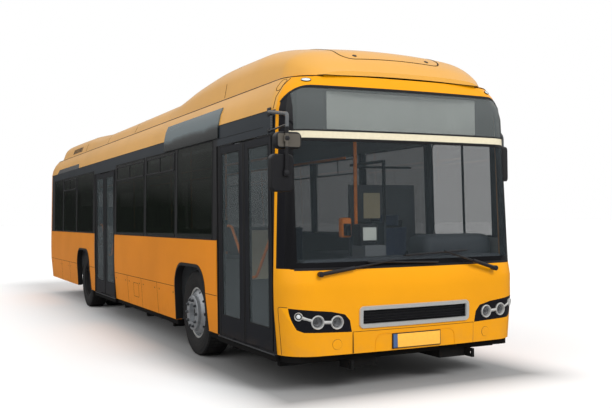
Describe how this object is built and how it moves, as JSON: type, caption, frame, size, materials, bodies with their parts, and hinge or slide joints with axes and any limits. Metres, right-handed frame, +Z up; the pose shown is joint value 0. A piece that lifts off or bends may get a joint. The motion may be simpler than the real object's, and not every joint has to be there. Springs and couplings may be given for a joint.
{
  "type": "city bus",
  "caption": "Low-floor city bus with two double-leaf doors on the kerb side, bonded windows, a domed roof fairing and twin rear wheels.",
  "frame": {"origin": "on the ground, at the centre of the bounding box in plan", "axes": "+Z up, the front looks along -Y, the doors are on the -X side"},
  "size_m": [3.1165, 12.542, 3.272],
  "materials": {
    "body_paint": "gloss",
    "front_paint": "gloss",
    "roof_paint": "gloss",
    "slate": "satin",
    "cream": "gloss",
    "dark_glass": "gloss",
    "clear_glass": "gloss",
    "black_plastic": "matte",
    "silver": "satin",
    "underframe": "matte",
    "steel": "satin",
    "tyre": "matte",
    "dark_rim": "satin",
    "lamp": "gloss",
    "red_lamp": "gloss",
    "seat": "matte",
    "grey_plastic": "matte",
    "floor": "matte",
    "yellow": "gloss"
  },
  "bodies": {
    "body": {"skirts": "body_paint", "waist_panels": "body_paint", "window_posts": "black_plastic", "saloon_windows": "dark_glass", "cant_rails": "slate", "cove_panels": "body_paint", "roof_panel": "roof_paint", "headlamps": "silver", "front_bumper": "front_paint", "front_panel": "front_paint", "grille": "silver", "front_cap": "front_paint", "windscreen": "clear_glass", "sign_strip": "cream", "destination_glass": "dark_glass", "rear_panel": "body_paint", "tail_lamps": "red_lamp", "fairing_front": "roof_paint", "fairing_rear": "roof_paint", "front_axle": "underframe", "rear_axle": "underframe", "floor": "floor", "rear_platform": "floor", "wheel_boxes": "grey_plastic", "chassis_frame": "underframe", "engine": "underframe", "side_sign": "dark_glass", "mirrors": "black_plastic", "wipers": "black_plastic", "dashboard": "grey_plastic", "steering_wheel": "black_plastic", "driver_seat": "seat", "partition": "grey_plastic", "ticket_machine": "grey_plastic", "passenger_seats": "seat", "handrails": "yellow"},
    "steering_kerb": {"knuckle_kerb": "underframe"},
    "front_wheel_kerb": {"front_tyre_kerb": "tyre", "front_rim_kerb": "silver"},
    "rear_wheels_kerb": {"rear_tyres_kerb": "tyre", "rear_rims_kerb": "dark_rim"},
    "steering_road": {"knuckle_road": "underframe"},
    "front_wheel_road": {"front_tyre_road": "tyre", "front_rim_road": "silver"},
    "rear_wheels_road": {"rear_tyres_road": "tyre", "rear_rims_road": "dark_rim"},
    "post_front_a": {"door_post_front_a": "slate"},
    "leaf_front_a": {"door_leaf_front_a": "slate", "door_glass_front_a": "dark_glass"},
    "post_front_b": {"door_post_front_b": "slate"},
    "leaf_front_b": {"door_leaf_front_b": "slate", "door_glass_front_b": "dark_glass"},
    "post_middle_a": {"door_post_middle_a": "slate"},
    "leaf_middle_a": {"door_leaf_middle_a": "slate", "door_glass_middle_a": "dark_glass"},
    "post_middle_b": {"door_post_middle_b": "slate"},
    "leaf_middle_b": {"door_leaf_middle_b": "slate", "door_glass_middle_b": "dark_glass"},
    "engine_hatch": {"engine_hatch": "body_paint"},
    "roof_lid": {"roof_lid": "roof_paint"}
  },
  "joints": [
    {"name": "steer_kerb", "type": "hinge", "parent": "body", "child": "steering_kerb", "pos_m": [-0.95, -3.22, 0.478], "axis": [0, 0, 1], "range_deg": [-45, 45]},
    {"name": "front_wheel_spin_kerb", "type": "hinge", "parent": "steering_kerb", "child": "front_wheel_kerb", "pos_m": [-1.0625, -3.22, 0.478], "axis": [1, 0, 0], "continuous": true},
    {"name": "rear_wheel_spin_kerb", "type": "hinge", "parent": "body", "child": "rear_wheels_kerb", "pos_m": [-1.0625, 2.725, 0.478], "axis": [1, 0, 0], "continuous": true},
    {"name": "steer_road", "type": "hinge", "parent": "body", "child": "steering_road", "pos_m": [0.95, -3.22, 0.478], "axis": [0, 0, 1], "range_deg": [-45, 45]},
    {"name": "front_wheel_spin_road", "type": "hinge", "parent": "steering_road", "child": "front_wheel_road", "pos_m": [1.0625, -3.22, 0.478], "axis": [1, 0, 0], "continuous": true},
    {"name": "rear_wheel_spin_road", "type": "hinge", "parent": "body", "child": "rear_wheels_road", "pos_m": [1.0625, 2.725, 0.478], "axis": [1, 0, 0], "continuous": true},
    {"name": "door_front_a_post", "type": "hinge", "parent": "body", "child": "post_front_a", "pos_m": [-1.2375, -5.513, 0.345], "axis": [0, 0, -1], "range_deg": [0, 90]},
    {"name": "door_front_a_leaf", "type": "hinge", "parent": "post_front_a", "child": "leaf_front_a", "pos_m": [-1.2375, -5.14475, 0.345], "axis": [0, 0, 1], "range_deg": [0, 180]},
    {"name": "door_front_b_post", "type": "hinge", "parent": "body", "child": "post_front_b", "pos_m": [-1.2375, -4.152, 0.345], "axis": [0, 0, 1], "range_deg": [0, 90]},
    {"name": "door_front_b_leaf", "type": "hinge", "parent": "post_front_b", "child": "leaf_front_b", "pos_m": [-1.2375, -4.52025, 0.345], "axis": [0, 0, -1], "range_deg": [0, 180]},
    {"name": "door_middle_a_post", "type": "hinge", "parent": "body", "child": "post_middle_a", "pos_m": [-1.2375, 0.377, 0.345], "axis": [0, 0, -1], "range_deg": [0, 90]},
    {"name": "door_middle_a_leaf", "type": "hinge", "parent": "post_middle_a", "child": "leaf_middle_a", "pos_m": [-1.2375, 0.744, 0.345], "axis": [0, 0, 1], "range_deg": [0, 180]},
    {"name": "door_middle_b_post", "type": "hinge", "parent": "body", "child": "post_middle_b", "pos_m": [-1.2375, 1.733, 0.345], "axis": [0, 0, 1], "range_deg": [0, 90]},
    {"name": "door_middle_b_leaf", "type": "hinge", "parent": "post_middle_b", "child": "leaf_middle_b", "pos_m": [-1.2375, 1.366, 0.345], "axis": [0, 0, -1], "range_deg": [0, 180]},
    {"name": "engine_hatch_hinge", "type": "hinge", "parent": "body", "child": "engine_hatch", "pos_m": [0, 6.25942, 1.35], "axis": [1, 0, 0], "range_deg": [0, 80]},
    {"name": "roof_lid_hinge", "type": "hinge", "parent": "body", "child": "roof_lid", "pos_m": [0, -4.715, 3.22538], "axis": [-1, 0, 0], "range_deg": [0, 75]}
  ],
  "couplings": [
    {"joint": "steer_road", "follows": "steer_kerb", "ratio": 1},
    {"joint": "door_front_a_leaf", "follows": "door_front_a_post", "ratio": 2},
    {"joint": "door_front_b_leaf", "follows": "door_front_b_post", "ratio": 2},
    {"joint": "door_middle_a_leaf", "follows": "door_middle_a_post", "ratio": 2},
    {"joint": "door_middle_b_leaf", "follows": "door_middle_b_post", "ratio": 2}
  ]
}
